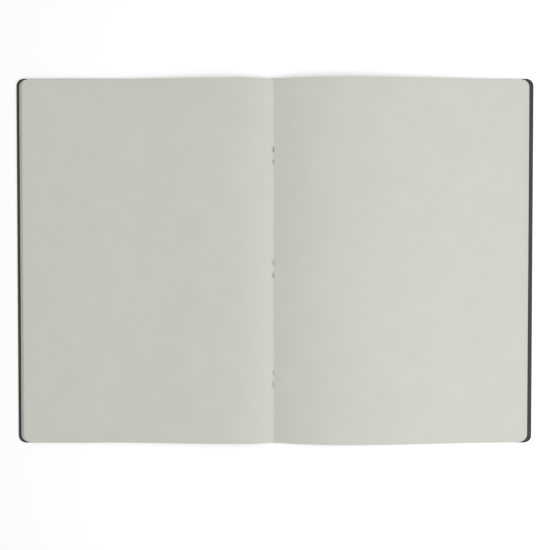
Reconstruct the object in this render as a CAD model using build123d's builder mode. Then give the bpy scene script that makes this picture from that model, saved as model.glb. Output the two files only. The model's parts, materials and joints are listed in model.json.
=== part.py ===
"""A4 saddle-stitched sketchbook, lying open at its centre spread.

X runs across the spread, +Y towards the head, +Z up. The origin is on the table,
under the middle of the fold. The front cover and every leaf turn about one line,
which runs along Y at the top of the open pile, over the middle of the fold.
"""

from build123d import *
from math import hypot, pi
import os

os.makedirs("parts", exist_ok=True)

# Paper: each sheet is folded once, so it has a left leaf, a creased fold and a right leaf
sheet_count = 10
paper = 0.20  # thickness of one leaf
air = 0.01  # between leaves that lie on each other
page_height = 297.0
widest_leaf = 208.4  # from the fold to the fore-edge, on the outermost sheet
leaf_corner = 6.0

# Card cover: front panel, scored spine and back panel
card = 0.40
cover_overhang = 0.8  # past the pages, at the head and at the tail
fore_edge_overhang = 2.8  # past the outermost sheet
cover_height = page_height + 2 * cover_overhang
cover_reach = widest_leaf + fore_edge_overhang  # from the fold to the fore-edge
cover_corner = 6.0
spine_half = 4.0  # from the fold to each score line
spine_flat_half = 1.6  # the raised middle of the spine, over the wire

# Wire stitches: the crown lies outside the spine, and the legs are clinched in the centre fold
wire = 0.70
wire_clearance = 0.10  # around each leg, in the card and in the paper
wire_bend = 0.40
crown_length = 13.5  # between the middles of the two legs
stitches = {  # place along the fold, and how far each leg is clinched over
    "head_staple": (86.2, 3.6),
    "middle_staple": (-6.3, 4.2),
    "tail_staple": (-96.0, 4.2),
}

# The wire holds the sheets flat this far to each side of the fold. The leaves turn about a line
# at the foot of the clinched wire, so their ends have to pass the far corner of its section.
swing_clearance = 0.13
crease_half = hypot(wire / 2, wire) + swing_clearance

# Heights over the table: wire crown, spine card, then the pile of sheets
pile_bottom = wire + card
leaf_pitch = paper + air
turn_height = pile_bottom + sheet_count * leaf_pitch

# The closed book is trimmed flush, so a deeper sheet, which wraps further round the fold,
# reaches further out when the book is open
creep = pi / 2 * leaf_pitch


def leaf_base(number):
    """Height of the underside of a sheet. Sheet 1 is the innermost one, on top."""
    return turn_height - number * leaf_pitch


def leaf_reach(number):
    """Distance from the fold to the fore-edge of a sheet."""
    return widest_leaf - (sheet_count - number) * creep


def save(part, name):
    """Label a finished piece and write its file."""
    part.label = name
    export_step(part, f"parts/{name}.step")


def side_panel(side, base, thickness, inner, reach, height, corner):
    """A flat panel on one side of the fold, with round corners at its fore-edge."""
    with BuildPart() as panel:
        with BuildSketch(Plane.XY.offset(base)) as outline:
            with Locations((side * (inner + reach) / 2, 0)):
                Rectangle(reach - inner, height)
            corners = outline.vertices().sort_by(Axis.X)
            fillet(corners[-2:] if side > 0 else corners[:2], corner)
        extrude(amount=thickness)
    return panel.part


def leg_places():
    """Where the six wire legs go through the fold."""
    return [(0, y + end * crown_length / 2) for y, _ in stitches.values() for end in (-1, 1)]


# Front and back cover panels, flat on the table outside the score lines
for panel_name, panel_side in (("front_cover", -1), ("back_cover", 1)):
    cover_panel = side_panel(
        panel_side, 0, card, spine_half, cover_reach, cover_height, cover_corner
    )
    save(cover_panel, panel_name)

# Spine of the cover, lifted over the wire crowns between the two score lines
with BuildPart() as cover_spine:
    with BuildSketch(Plane.XZ.offset(-cover_height / 2)):
        with BuildLine():
            Polyline(
                (-spine_half, 0),
                (-spine_flat_half, wire),
                (spine_flat_half, wire),
                (spine_half, 0),
                (spine_half, card),
                (spine_flat_half, pile_bottom),
                (-spine_flat_half, pile_bottom),
                (-spine_half, card),
                close=True,
            )
        make_face()
    extrude(amount=cover_height)
    with BuildSketch(Plane.XY):
        with Locations(*leg_places()):
            Circle(wire / 2 + wire_clearance)
    extrude(amount=pile_bottom, mode=Mode.SUBTRACT)
save(cover_spine.part, "cover_spine")


# Ten folded sheets, each with its creased strip between a left and a right leaf
for sheet in range(1, sheet_count + 1):
    with BuildPart() as sheet_fold:
        with BuildSketch(Plane.XY.offset(leaf_base(sheet))):
            Rectangle(2 * crease_half, page_height)
            with Locations(*leg_places()):
                Circle(wire / 2 + wire_clearance, mode=Mode.SUBTRACT)
        extrude(amount=paper)
    save(sheet_fold.part, f"sheet_fold_{sheet:02d}")

    for leaf_name, leaf_side in (("left_leaf", -1), ("right_leaf", 1)):
        leaf = side_panel(
            leaf_side,
            leaf_base(sheet),
            paper,
            crease_half,
            leaf_reach(sheet),
            page_height,
            leaf_corner,
        )
        save(leaf, f"{leaf_name}_{sheet:02d}")


# Three wire stitches
crown_level = wire / 2
clinch_level = turn_height + wire / 2
for stitch_name, (stitch_y, clinch_length) in stitches.items():
    head_leg = stitch_y + crown_length / 2
    tail_leg = stitch_y - crown_length / 2
    with BuildPart() as stitch:
        with BuildLine() as route:
            FilletPolyline(
                (0, tail_leg + clinch_length, clinch_level),
                (0, tail_leg, clinch_level),
                (0, tail_leg, crown_level),
                (0, head_leg, crown_level),
                (0, head_leg, clinch_level),
                (0, head_leg - clinch_length, clinch_level),
                radius=wire_bend,
            )
        with BuildSketch(Plane(origin=route.line @ 0, z_dir=route.line % 0)):
            Circle(wire / 2)
        sweep()
    save(stitch.part, stitch_name)

print(f"turning line {turn_height:.2f} mm over the table, closed {2 * turn_height:.2f} mm thick")
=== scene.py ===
import json
import math

import bpy
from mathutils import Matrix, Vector


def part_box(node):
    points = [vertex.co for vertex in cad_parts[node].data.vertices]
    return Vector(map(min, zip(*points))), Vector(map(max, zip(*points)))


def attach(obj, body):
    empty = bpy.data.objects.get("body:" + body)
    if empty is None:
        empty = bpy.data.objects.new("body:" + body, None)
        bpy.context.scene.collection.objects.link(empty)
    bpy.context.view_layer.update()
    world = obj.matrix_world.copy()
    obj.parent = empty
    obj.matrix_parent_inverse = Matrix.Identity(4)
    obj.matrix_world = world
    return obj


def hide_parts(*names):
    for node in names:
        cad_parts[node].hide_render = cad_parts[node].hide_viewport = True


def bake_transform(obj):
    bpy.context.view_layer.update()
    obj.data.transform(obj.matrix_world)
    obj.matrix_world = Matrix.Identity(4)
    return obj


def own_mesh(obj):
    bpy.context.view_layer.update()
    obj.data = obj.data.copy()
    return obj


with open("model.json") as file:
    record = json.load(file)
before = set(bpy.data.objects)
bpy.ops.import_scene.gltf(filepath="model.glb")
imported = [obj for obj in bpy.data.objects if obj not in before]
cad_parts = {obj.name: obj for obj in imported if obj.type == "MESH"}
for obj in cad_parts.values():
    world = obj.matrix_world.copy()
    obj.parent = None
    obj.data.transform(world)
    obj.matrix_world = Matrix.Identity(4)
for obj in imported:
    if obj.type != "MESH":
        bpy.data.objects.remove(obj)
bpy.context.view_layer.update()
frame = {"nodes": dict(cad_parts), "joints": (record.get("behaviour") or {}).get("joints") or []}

mm = 0.001
joints = {j["name"]: j for j in frame["joints"]}
turnHeight = joints["front_cover_fold"]["pos_m"][2]
sheetCount = sum(name.startswith("right_leaf_") for name in frame["nodes"])
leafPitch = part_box("right_leaf_01")[0].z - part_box("right_leaf_02")[0].z
leafLow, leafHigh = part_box("right_leaf_01")
paper = leafHigh.z - leafLow.z
creaseHalf = leafLow.x
pageHalf = leafHigh.y
coverLow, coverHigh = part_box("back_cover")
cardThick = coverHigh.z - coverLow.z
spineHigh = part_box("cover_spine")[1]
print("stage 1: frame loaded")


# camera, floor and light

view = {
    "distance": 500 * mm,
    "tiltTowardsHead": 0.9,  # degrees
    "lens": 39.85,
    "shiftUp": -0.0246,
}

lamps = {
    "keyWindow": {
        "place": (1.05, -0.25, 0.95), "size": 0.9, "power": 16.5, "colour": (0.90, 0.95, 1.0),
    },
    "ceilingFill": {
        "place": (-0.7, 0.5, 1.5), "size": 1.6, "power": 7.0, "colour": (1.0, 0.99, 0.96),
    },
}
roomLight = {"strength": 0.51, "colour": (1.0, 0.985, 0.95)}


def addCamera():
    tilt = math.radians(view["tiltTowardsHead"])
    data = bpy.data.cameras.new("viewCamera")
    camera = bpy.data.objects.new("viewCamera", data)
    bpy.context.scene.collection.objects.link(camera)
    camera.location = (0, view["distance"] * math.sin(tilt), view["distance"] * math.cos(tilt))
    camera.rotation_euler = (-tilt, 0, 0)
    data.lens = view["lens"]
    data.shift_y = view["shiftUp"]
    data.clip_start = 10 * mm
    bpy.context.scene.camera = camera


def addLamp(name, place, size, power, colour):
    data = bpy.data.lights.new(name, "AREA")
    data.color = colour
    data.size = size
    data.energy = power
    lamp = bpy.data.objects.new(name, data)
    bpy.context.scene.collection.objects.link(lamp)
    lamp.location = place
    lamp.rotation_euler = (-lamp.location).to_track_quat("-Z", "Y").to_euler()


floorSetup = {"size": 40, "gap": 0.15 * mm, "colour": (0.97, 0.97, 0.97), "roughness": 0.9}


def addFloor():
    bpy.ops.object.select_all(action="DESELECT")
    bpy.ops.mesh.primitive_plane_add(size=floorSetup["size"], location=(0, 0, -floorSetup["gap"]))
    floor = bpy.context.active_object
    floor.name = "paleFloor"
    bpy.ops.object.transform_apply(location=True, rotation=True, scale=True)
    paint = bpy.data.materials.new("palePaint")
    paint.use_nodes = True
    shader = paint.node_tree.nodes["Principled BSDF"]
    shader.inputs["Base Color"].default_value = (*floorSetup["colour"], 1)
    shader.inputs["Roughness"].default_value = floorSetup["roughness"]
    floor.data.materials.append(paint)


def addRoomLight():
    world = bpy.data.worlds.new("softRoom")
    bpy.context.scene.world = world
    world.use_nodes = True
    background = world.node_tree.nodes["Background"]
    background.inputs["Color"].default_value = (*roomLight["colour"], 1)
    background.inputs["Strength"].default_value = roomLight["strength"]


addCamera()
addFloor()
addRoomLight()
for lampName, lampSetup in lamps.items():
    addLamp(lampName, **lampSetup)
bpy.context.scene.view_settings.view_transform = "Standard"
print("stage 2: camera, floor and light")


# shader helpers

def addNode(tree, kind, **settings):
    node = tree.nodes.new(kind)
    for name, value in settings.items():
        setattr(node, name, value)
    return node


def feed(tree, socket, value):
    if isinstance(value, (int, float)):
        socket.default_value = value
    elif isinstance(value, tuple):
        socket.default_value = (*value, 1) if len(socket.default_value) == 4 else value
    else:
        tree.links.new(value, socket)


def noise(tree, vector, scale, detail, roughness):
    node = addNode(tree, "ShaderNodeTexNoise")
    feed(tree, node.inputs["Vector"], vector)
    feed(tree, node.inputs["Scale"], scale)
    feed(tree, node.inputs["Detail"], detail)
    feed(tree, node.inputs["Roughness"], roughness)
    return node.outputs["Fac"]


def calc(tree, operation, *values):
    node = addNode(tree, "ShaderNodeMath", operation=operation)
    for socket, value in zip(node.inputs, values):
        feed(tree, socket, value)
    return node.outputs[0]


def mixColours(tree, factor, first, second):
    node = addNode(tree, "ShaderNodeMix", data_type="RGBA", blend_type="MIX")
    for index, value in ((0, factor), (6, first), (7, second)):
        feed(tree, node.inputs[index], value)
    return node.outputs[2]


def spread(tree, value, low, high, toLow=0.0, toHigh=1.0):
    node = addNode(tree, "ShaderNodeMapRange")
    for label, number in (("Value", value), ("From Min", low), ("From Max", high),
                          ("To Min", toLow), ("To Max", toHigh)):
        feed(tree, node.inputs[label], number)
    return node.outputs["Result"]


def stretch(tree, vector, scale):
    node = addNode(tree, "ShaderNodeMapping")
    feed(tree, node.inputs["Vector"], vector)
    node.inputs["Scale"].default_value = scale
    return node.outputs["Vector"]


def newGroup(name, inputs, outputs):
    group = bpy.data.node_groups.new(name, "ShaderNodeTree")
    for label, kind, value in inputs:
        socket = group.interface.new_socket(label, in_out="INPUT", socket_type=kind)
        if value is not None:
            socket.default_value = value
    for label, kind in outputs:
        group.interface.new_socket(label, in_out="OUTPUT", socket_type=kind)
    return group, group.nodes.new("NodeGroupInput"), group.nodes.new("NodeGroupOutput")


def makeToothGroup():
    # felt-side tooth and single fibres of uncoated paper or card
    group, source, result = newGroup(
        "paperTooth",
        [("Vector", "NodeSocketVector", None), ("Tooth Scale", "NodeSocketFloat", 2200.0),
         ("Fibre Scale", "NodeSocketFloat", 900.0), ("Cloud Scale", "NodeSocketFloat", 90.0)],
        [("Tooth", "NodeSocketFloat"), ("Fibres", "NodeSocketFloat"), ("Clouds", "NodeSocketFloat")],
    )
    place = source.outputs["Vector"]
    tooth = noise(group, place, source.outputs["Tooth Scale"], 3.0, 0.6)
    across = noise(group, stretch(group, place, (1.0, 0.12, 1.0)), source.outputs["Fibre Scale"], 5.0, 0.7)
    along = noise(group, stretch(group, place, (0.12, 1.0, 1.0)), source.outputs["Fibre Scale"], 5.0, 0.7)
    fibres = spread(group, calc(group, "MAXIMUM", across, along), 0.58, 0.74)
    clouds = noise(group, place, source.outputs["Cloud Scale"], 6.0, 0.62)
    feed(group, result.inputs["Tooth"], tooth)
    feed(group, result.inputs["Fibres"], fibres)
    feed(group, result.inputs["Clouds"], clouds)
    return group


def makeRimGroup():
    # how near a point is to the head, tail and fore-edges, broken up by noise
    group, source, result = newGroup(
        "handledRim",
        [("Vector", "NodeSocketVector", None), ("Reach", "NodeSocketFloat", 0.2),
         ("Half Height", "NodeSocketFloat", 0.15), ("Width", "NodeSocketFloat", 0.004),
         ("Break Up", "NodeSocketFloat", 0.5)],
        [("Rim", "NodeSocketFloat")],
    )
    parts = addNode(group, "ShaderNodeSeparateXYZ")
    feed(group, parts.inputs[0], source.outputs["Vector"])
    sideways = calc(group, "SUBTRACT", source.outputs["Reach"], calc(group, "ABSOLUTE", parts.outputs["X"]))
    lengthways = calc(
        group, "SUBTRACT", source.outputs["Half Height"], calc(group, "ABSOLUTE", parts.outputs["Y"]))
    nearest = calc(group, "MINIMUM", sideways, lengthways)
    closeness = spread(group, calc(group, "DIVIDE", nearest, source.outputs["Width"]), 0.0, 1.0, 1.0, 0.0)
    patches = spread(group, noise(group, source.outputs["Vector"], 260.0, 5.0, 0.65), 0.38, 0.66)
    broken = calc(group, "MULTIPLY", closeness, patches)
    weighted = addNode(group, "ShaderNodeMix", data_type="FLOAT")
    feed(group, weighted.inputs[0], source.outputs["Break Up"])
    feed(group, weighted.inputs[2], closeness)
    feed(group, weighted.inputs[3], broken)
    feed(group, result.inputs["Rim"], weighted.outputs[0])
    return group


toothGroup = makeToothGroup()
rimGroup = makeRimGroup()


def useGroup(tree, group, **values):
    node = addNode(tree, "ShaderNodeGroup", node_tree=group)
    for label, value in values.items():
        feed(tree, node.inputs[label.replace("_", " ")], value)
    return node


def startMaterial(name):
    material = bpy.data.materials.new(name)
    material.use_nodes = True
    tree = material.node_tree
    place = addNode(tree, "ShaderNodeTexCoord").outputs["Object"]
    return material, tree, tree.nodes["Principled BSDF"], place


def addBump(tree, shader, height, distance, strength):
    bump = addNode(tree, "ShaderNodeBump")
    bump.inputs["Strength"].default_value = strength
    bump.inputs["Distance"].default_value = distance
    feed(tree, bump.inputs["Height"], height)
    feed(tree, shader.inputs["Normal"], bump.outputs["Normal"])


leafFinish = {
    "ivory": (0.550, 0.553, 0.500),
    "shadedFelt": (0.528, 0.532, 0.478),
    "agedRim": (0.505, 0.503, 0.455),
    "fibre": (0.60, 0.605, 0.56),
    "speck": (0.42, 0.42, 0.375),
    "grain": {"Tooth_Scale": 1900.0, "Fibre_Scale": 700.0, "Cloud_Scale": 38.0},
    "rim": {"Width": 5 * mm, "Break_Up": 0.45},
    "fibreShare": 0.35,
    "speckShare": 0.10,
    "cloudRange": (0.30, 0.72),
    "speckRange": (0.25, 0.75),
    "rimShare": 0.35,
    "roughness": (0.82, 0.95),
    "specular": 0.25,
    "toothDepth": 0.05 * mm,
    "fibreHeight": 0.4,  # beside the tooth
    "bumpStrength": 0.7,
}


def makeLeafPaper():
    material, tree, shader, place = startMaterial("ivoryDrawingPaper")
    tooth = useGroup(tree, toothGroup, Vector=place, **leafFinish["grain"])
    rim = useGroup(tree, rimGroup, Vector=place, Reach=leafHigh.x, Half_Height=pageHalf, **leafFinish["rim"])
    clouds = spread(tree, tooth.outputs["Clouds"], *leafFinish["cloudRange"])
    clouded = mixColours(tree, clouds, leafFinish["shadedFelt"], leafFinish["ivory"])
    fibres = calc(tree, "MULTIPLY", tooth.outputs["Fibres"], leafFinish["fibreShare"])
    grained = mixColours(tree, fibres, clouded, leafFinish["fibre"])
    specks = spread(tree, tooth.outputs["Tooth"], *leafFinish["speckRange"], 0.0, leafFinish["speckShare"])
    speckled = mixColours(tree, specks, grained, leafFinish["speck"])
    ageing = calc(tree, "MULTIPLY", rim.outputs["Rim"], leafFinish["rimShare"])
    feed(tree, shader.inputs["Base Color"], mixColours(tree, ageing, speckled, leafFinish["agedRim"]))
    feed(tree, shader.inputs["Roughness"],
         spread(tree, tooth.outputs["Tooth"], 0.2, 0.8, *leafFinish["roughness"]))
    shader.inputs["Specular IOR Level"].default_value = leafFinish["specular"]
    raised = calc(tree, "MULTIPLY", tooth.outputs["Fibres"], leafFinish["fibreHeight"])
    height = calc(tree, "ADD", tooth.outputs["Tooth"], raised)
    addBump(tree, shader, height, leafFinish["toothDepth"], leafFinish["bumpStrength"])
    return material


cardFinish = {
    "charcoal": (0.036, 0.036, 0.032),
    "dustyCharcoal": (0.046, 0.046, 0.041),
    "wornRim": (0.115, 0.112, 0.10),
    "fibre": (0.14, 0.14, 0.13),
    "grain": {"Tooth_Scale": 1500.0, "Fibre_Scale": 520.0, "Cloud_Scale": 30.0},
    "rim": {"Width": 1.6 * mm, "Break_Up": 0.8},
    "fibreShare": 0.28,
    "cloudRange": (0.35, 0.75),
    "rimShare": 0.4,
    "roughness": (0.72, 0.88),
    "specular": 0.25,
    "toothDepth": 0.09 * mm,
    "fibreHeight": 0.5,
    "bumpStrength": 0.8,
}


def makeCoverCard():
    material, tree, shader, place = startMaterial("charcoalCoverCard")
    tooth = useGroup(tree, toothGroup, Vector=place, **cardFinish["grain"])
    rim = useGroup(
        tree, rimGroup, Vector=place, Reach=coverHigh.x, Half_Height=coverHigh.y, **cardFinish["rim"])
    clouds = spread(tree, tooth.outputs["Clouds"], *cardFinish["cloudRange"])
    clouded = mixColours(tree, clouds, cardFinish["charcoal"], cardFinish["dustyCharcoal"])
    fibres = calc(tree, "MULTIPLY", tooth.outputs["Fibres"], cardFinish["fibreShare"])
    fibred = mixColours(tree, fibres, clouded, cardFinish["fibre"])
    wear = calc(tree, "MULTIPLY", rim.outputs["Rim"], cardFinish["rimShare"])
    feed(tree, shader.inputs["Base Color"], mixColours(tree, wear, fibred, cardFinish["wornRim"]))
    feed(tree, shader.inputs["Roughness"],
         spread(tree, tooth.outputs["Clouds"], 0.2, 0.8, *cardFinish["roughness"]))
    shader.inputs["Specular IOR Level"].default_value = cardFinish["specular"]
    raised = calc(tree, "MULTIPLY", tooth.outputs["Fibres"], cardFinish["fibreHeight"])
    height = calc(tree, "ADD", tooth.outputs["Tooth"], raised)
    addBump(tree, shader, height, cardFinish["toothDepth"], cardFinish["bumpStrength"])
    return material


wireFinish = {
    "zinc": (0.46, 0.46, 0.46),
    "tarnish": (0.18, 0.175, 0.16),
    "drawnGrain": (6.0, 0.25, 6.0),
    "drawnScale": 2600.0,
    "spotScale": 1400.0,
    "spotRange": (0.48, 0.66),
    "roughness": (0.24, 0.55),
    "drawDepth": 0.02 * mm,
    "bumpStrength": 0.6,
}


def makeStitchingWire():
    material, tree, shader, place = startMaterial("stitchingWireSteel")
    drawn = noise(tree, stretch(tree, place, wireFinish["drawnGrain"]), wireFinish["drawnScale"], 3.0, 0.6)
    spotNoise = noise(tree, place, wireFinish["spotScale"], 5.0, 0.6)
    spots = spread(tree, spotNoise, *wireFinish["spotRange"])
    feed(tree, shader.inputs["Base Color"],
         mixColours(tree, spots, wireFinish["zinc"], wireFinish["tarnish"]))
    shader.inputs["Metallic"].default_value = 1.0
    feed(tree, shader.inputs["Roughness"],
         spread(tree, calc(tree, "ADD", drawn, spots), 0.3, 1.5, *wireFinish["roughness"]))
    addBump(tree, shader, drawn, wireFinish["drawDepth"], wireFinish["bumpStrength"])
    return material


leafPaper = makeLeafPaper()
coverCard = makeCoverCard()
stitchingWire = makeStitchingWire()
print("stage 3: materials")


# flat sheet stock, cut and creased in edit mode

stock = {
    "cornerSteps": 8,
    "paperShare": 0.92,  # paper is drawn a little thinner, so leaves stay apart
    "cutError": 0.01 * mm,
}


def selectInEdit(test):
    # test takes a vertex's coordinates
    bpy.ops.mesh.select_mode(type="VERT")
    bpy.ops.mesh.select_all(action="DESELECT")
    bpy.ops.object.mode_set(mode="OBJECT")
    mesh = bpy.context.active_object.data
    for vertex in mesh.vertices:
        vertex.select = test(vertex.co)
    bpy.ops.object.mode_set(mode="EDIT")


def cutSheet(name, xInner, xOuter, halfHeight, corner, stations, rows):
    # a flat sheet in the XY plane, with round corners at xOuter, scored across at each station
    bpy.ops.object.select_all(action="DESELECT")
    bpy.ops.mesh.primitive_plane_add(size=1, location=((xInner + xOuter) / 2, 0, 0))
    piece = bpy.context.active_object
    piece.name = name
    piece.scale = (abs(xOuter - xInner), 2 * halfHeight, 1)
    bpy.ops.object.transform_apply(location=True, rotation=True, scale=True)
    bpy.ops.object.mode_set(mode="EDIT")
    roundedEnds = [xOuter] if xInner * xOuter >= 0 else [xInner, xOuter]
    selectInEdit(lambda co: any(abs(co.x - end) < stock["cutError"] for end in roundedEnds))
    bpy.ops.mesh.bevel(offset=corner, segments=stock["cornerSteps"], affect="VERTICES")
    for x in stations:
        bpy.ops.mesh.select_all(action="SELECT")
        bpy.ops.mesh.bisect(plane_co=(x, 0, 0), plane_no=(1, 0, 0))
    for row in range(1, rows):
        bpy.ops.mesh.select_all(action="SELECT")
        bpy.ops.mesh.bisect(plane_co=(0, halfHeight * (2 * row / rows - 1), 0), plane_no=(0, 1, 0))
    bpy.ops.object.mode_set(mode="OBJECT")
    return piece


def copyOf(piece, name):
    copy = piece.copy()
    copy.data = piece.data.copy()
    copy.name = name
    bpy.context.scene.collection.objects.link(copy)
    return copy


def moveVertices(piece, rule):
    for vertex in piece.data.vertices:
        vertex.co = rule(vertex.co)
    piece.data.update()


def useTool(piece, kind, **settings):
    bpy.ops.object.select_all(action="DESELECT")
    bpy.context.view_layer.objects.active = piece
    piece.select_set(True)
    tool = piece.modifiers.new(kind.lower(), kind)
    for name, value in settings.items():
        setattr(tool, name, value)
    bpy.ops.object.modifier_apply(modifier=tool.name)


def finishPiece(piece, material, smoothAngle=35):
    bpy.ops.object.select_all(action="DESELECT")
    bpy.context.view_layer.objects.active = piece
    piece.select_set(True)
    bpy.ops.object.mode_set(mode="EDIT")
    bpy.ops.mesh.select_all(action="SELECT")
    bpy.ops.mesh.normals_make_consistent(inside=False)
    bpy.ops.object.mode_set(mode="OBJECT")
    bpy.ops.object.shade_smooth_by_angle(angle=math.radians(smoothAngle))
    piece.data.materials.clear()
    piece.data.materials.append(material)


def spaced(low, high, count):
    return [low + (high - low) * i / count for i in range(1, count)]


# shape of the open leaves

leafRise = {
    # distance from the fold, height of the top leaf over the table, slope there: all in mm
    "left": [(0, 3.2, 0.27), (2.5, 3.82, 0.24), (18, 6.4, 0.10), (38, 6.95, -0.02), (60, 6.0, -0.05),
             (101, 3.8, -0.045), (150, 2.7, -0.008), (206, 2.5, 0.0)],
    "right": [(0, 3.2, 0.24), (2.5, 3.8, 0.24), (22, 7.5, 0.14), (54, 9.8, 0.0), (103, 8.0, -0.07),
              (152, 4.5, -0.06), (206, 2.6, -0.01)],
}
leafShape = {
    "stationsNearFold": 14,
    "stationsAcross": 30,
    "rows": 10,
    "nearFold": 30 * mm,
    "corner": 6 * mm,
    "cockle": 0.10 * mm,  # slow waves in the paper
    "cockleFadesIn": 60 * mm,  # from the fold
    "foreEdgeLift": 0.035 * mm,  # how much more each leaf lifts at its fore-edge than the one under it
    "keepWhenShut": 0.012,
    "leftSlack": 0.8 * mm,  # the left leaves are pulled this far out of the fold
}
foldLean = {"sideways": -1.1 * mm, "fadesOutAt": 30 * mm}  # the top of the fold leans to the left


def hermite(knots, x):
    for (x0, z0, m0), (x1, z1, m1) in zip(knots, knots[1:]):
        if x <= x1 or (x1, z1, m1) == knots[-1]:
            span = x1 - x0
            t = (x - x0) / span
            return ((2 * t**3 - 3 * t**2 + 1) * z0 + (t**3 - 2 * t**2 + t) * span * m0
                    + (3 * t**2 - 2 * t**3) * z1 + (t**3 - t**2) * span * m1)


def alongPaper(side):
    # horizontal distance from the fold at each step along the paper, which doesn't stretch
    step = 0.5 * mm
    nudge = 0.05
    spare = 1.03
    places = [0.0]
    while len(places) * step < leafHigh.x * spare:
        x = places[-1] / mm
        slope = (hermite(leafRise[side], x + nudge) - hermite(leafRise[side], x)) / nudge
        places.append(places[-1] + step / math.sqrt(1 + slope * slope))

    def across(along):
        index = int(along / step)
        return places[index] + (along / step % 1) * (places[index + 1] - places[index])

    return across


cockleWaves = [  # share of the height, radians per metre across and along the fold, and start
    (1.0, 31, 17, 0.6),
    (0.7, -41, 23, 2.1),
    (0.5, 0, 57, 1.3),
]


def cockle(x, y):
    wave = 0.0
    for share, across, along, start in cockleWaves:
        wave += share * math.sin(across * x + along * y + start)
    return leafShape["cockle"] * wave * min(1.0, abs(x) / leafShape["cockleFadesIn"])


def lean(distance):
    return foldLean["sideways"] * max(0.0, 1 - distance / foldLean["fadesOutAt"]) ** 2


def leafTop(side, distance, y, number):
    # height of the upper face of leaf number at this distance from the fold
    height = hermite(leafRise[side], distance / mm) * mm
    lift = leafShape["foreEdgeLift"] * (sheetCount - number) * (distance / leafHigh.x) ** 3
    return height + lift + cockle(distance if side == "right" else -distance, y) - (number - 1) * leafPitch


def makeLeaves():
    stations = spaced(creaseHalf, leafShape["nearFold"], leafShape["stationsNearFold"])
    stations += [leafShape["nearFold"]]
    stations += spaced(leafShape["nearFold"], leafHigh.x, leafShape["stationsAcross"])
    blank = cutSheet("leafBlank", creaseHalf, leafHigh.x, pageHalf, leafShape["corner"], stations,
                     leafShape["rows"])
    for side, sign in (("left", -1), ("right", 1)):
        across = alongPaper(side)
        slack = leafShape["leftSlack"] if side == "left" else 0.0
        for number in range(1, sheetCount + 1):
            node = f"{side}_leaf_{number:02d}"
            low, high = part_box(node)
            reach = max(abs(low.x), abs(high.x))
            leaf = copyOf(blank, f"{side}Page{number:02d}")

            def shape(co):
                share = (co.x - creaseHalf) / (leafHigh.x - creaseHalf)
                distance = across(creaseHalf + share * (reach - creaseHalf)) - across(creaseHalf) + creaseHalf
                top = leafTop(side, distance, co.y, number)
                return Vector((sign * (distance + slack) + lean(distance), co.y, top - paper / 2))

            moveVertices(leaf, shape)
            useTool(leaf, "SOLIDIFY", thickness=stock["paperShare"] * paper, offset=0)
            finishPiece(leaf, leafPaper)
            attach(leaf, node)
            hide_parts(node)
            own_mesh(leaf)
    bpy.data.objects.remove(blank)


makeLeaves()
print("stage 4: leaves")


# creased strips of the sheets, along the fold

creaseShape = {"stations": 7, "rows": 6, "corner": 0.01 * mm}


def makeCreases():
    for side, sign in (("left", -1), ("right", 1)):
        slack = leafShape["leftSlack"] if side == "left" else 0.0
        stations = [sign * x for x in spaced(0, creaseHalf, creaseShape["stations"])]
        blank = cutSheet("creaseBlank", 0, sign * creaseHalf, pageHalf, creaseShape["corner"], stations,
                         creaseShape["rows"])
        for number in range(1, sheetCount + 1):
            crease = copyOf(blank, f"{side}Crease{number:02d}")

            def shape(co):
                top = leafTop(side, abs(co.x), co.y, number)
                return Vector((co.x * (1 + slack / creaseHalf) + lean(abs(co.x)), co.y, top - paper / 2))

            moveVertices(crease, shape)
            useTool(crease, "SOLIDIFY", thickness=stock["paperShare"] * paper, offset=0)
            finishPiece(crease, leafPaper)
            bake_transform(crease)
            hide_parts(f"sheet_fold_{number:02d}")
        bpy.data.objects.remove(blank)


makeCreases()
print("stage 5: creases")


# cover: one card from fore-edge to fore-edge, lifted at the spine over the wire

coverShape = {
    "corner": 6 * mm,
    "spineStations": 16,
    "panelStations": 10,
    "rows": 8,
    "rimRound": 0.07 * mm,
    "rimAngle": 50,  # only edges sharper than this are rounded
    "spineFlatHalf": 1.6 * mm,  # the raised middle of the spine, over the wire
}


def cardHeight(x):
    lift = spineHigh.z - coverHigh.z
    t = min(1.0, max(0.0, (spineHigh.x - abs(x)) / (spineHigh.x - coverShape["spineFlatHalf"])))
    return cardThick / 2 + lift * t * t * (3 - 2 * t)


def makeCover():
    reach = coverHigh.x
    stations = spaced(-spineHigh.x, spineHigh.x, coverShape["spineStations"])
    stations += [-spineHigh.x, spineHigh.x]
    for sign in (-1, 1):
        stations += [sign * x for x in spaced(spineHigh.x, reach, coverShape["panelStations"])]
    cover = cutSheet("foldedCover", -reach, reach, coverHigh.y, coverShape["corner"], stations,
                     coverShape["rows"])
    moveVertices(cover, lambda co: Vector((co.x, co.y, cardHeight(co.x))))
    useTool(cover, "SOLIDIFY", thickness=cardThick, offset=0)
    useTool(cover, "BEVEL", width=coverShape["rimRound"], segments=2, limit_method="ANGLE",
            angle_limit=math.radians(coverShape["rimAngle"]))
    finishPiece(cover, coverCard)
    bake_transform(cover)
    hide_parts("front_cover", "cover_spine", "back_cover")


makeCover()
print("stage 6: cover")


# wire stitches: the crown lies outside the spine, and the legs lean with the fold and are clinched in it

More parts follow.
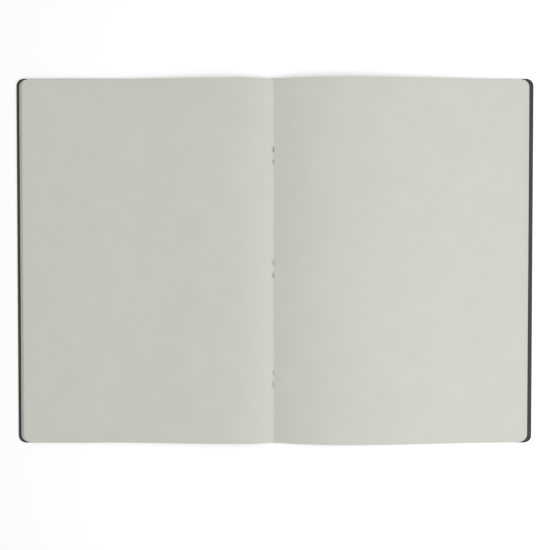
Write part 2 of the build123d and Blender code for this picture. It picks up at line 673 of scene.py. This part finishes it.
stitchShape = {
    # how far the tail and head legs are clinched over, and how far each tip swings to the right
    "head_staple": {"clinch": (3.4 * mm, 4.0 * mm), "swing": (-0.15 * mm, 0.05 * mm)},
    "middle_staple": {"clinch": (4.4 * mm, 3.4 * mm), "swing": (-0.1 * mm, -0.25 * mm)},
    "tail_staple": {"clinch": (4.4 * mm, 3.2 * mm), "swing": (-0.3 * mm, 0.1 * mm)},
}
wireShape = {
    "sideSteps": 3,
    "bend": 0.5 * mm,
    "bendSteps": 5,
    "tipBevel": 0.08 * mm,
    "tipAngle": 60,
    "smoothAngle": 50,
}


def makeStitch(node, clinch, swing):
    low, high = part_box(node)
    half = (high.x - low.x) / 2
    crownHeight = low.z + half
    clinchHeight = turnHeight + half
    tailLeg, headLeg = low.y + half, high.y - half
    corners = [
        (lean(0) + swing[0], tailLeg + clinch[0], clinchHeight),
        (lean(0), tailLeg, clinchHeight),
        (0, tailLeg, crownHeight),
        (0, headLeg, crownHeight),
        (lean(0), headLeg, clinchHeight),
        (lean(0) + swing[1], headLeg - clinch[1], clinchHeight),
    ]
    bpy.ops.object.select_all(action="DESELECT")
    bpy.ops.mesh.primitive_plane_add(size=1)
    wire = bpy.context.active_object
    wire.name = f"{node.split('_')[0]}Stitch"
    bpy.ops.object.mode_set(mode="EDIT")
    bpy.ops.mesh.select_all(action="SELECT")
    bpy.ops.mesh.merge(type="CENTER")
    bpy.ops.transform.translate(value=corners[0])
    for before, here in zip(corners, corners[1:]):
        step = Vector(here) - Vector(before)
        bpy.ops.mesh.extrude_region_move(TRANSFORM_OT_translate={"value": step})
    bpy.ops.mesh.select_all(action="SELECT")
    bpy.ops.mesh.bevel(offset=wireShape["bend"], segments=wireShape["bendSteps"], affect="VERTICES")
    bpy.ops.object.mode_set(mode="OBJECT")
    bpy.ops.object.convert(target="CURVE")
    wire = bpy.context.active_object
    wire.data.bevel_depth = half
    wire.data.bevel_resolution = wireShape["sideSteps"]
    wire.data.use_fill_caps = True
    bpy.ops.object.convert(target="MESH")
    wire = bpy.context.active_object
    useTool(wire, "BEVEL", width=wireShape["tipBevel"], segments=2, limit_method="ANGLE",
            angle_limit=math.radians(wireShape["tipAngle"]))
    finishPiece(wire, stitchingWire, wireShape["smoothAngle"])
    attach(wire, "back")
    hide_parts(node)


for stitchNode, stitchSetup in stitchShape.items():
    makeStitch(stitchNode, **stitchSetup)
print("stage 7: stitches")
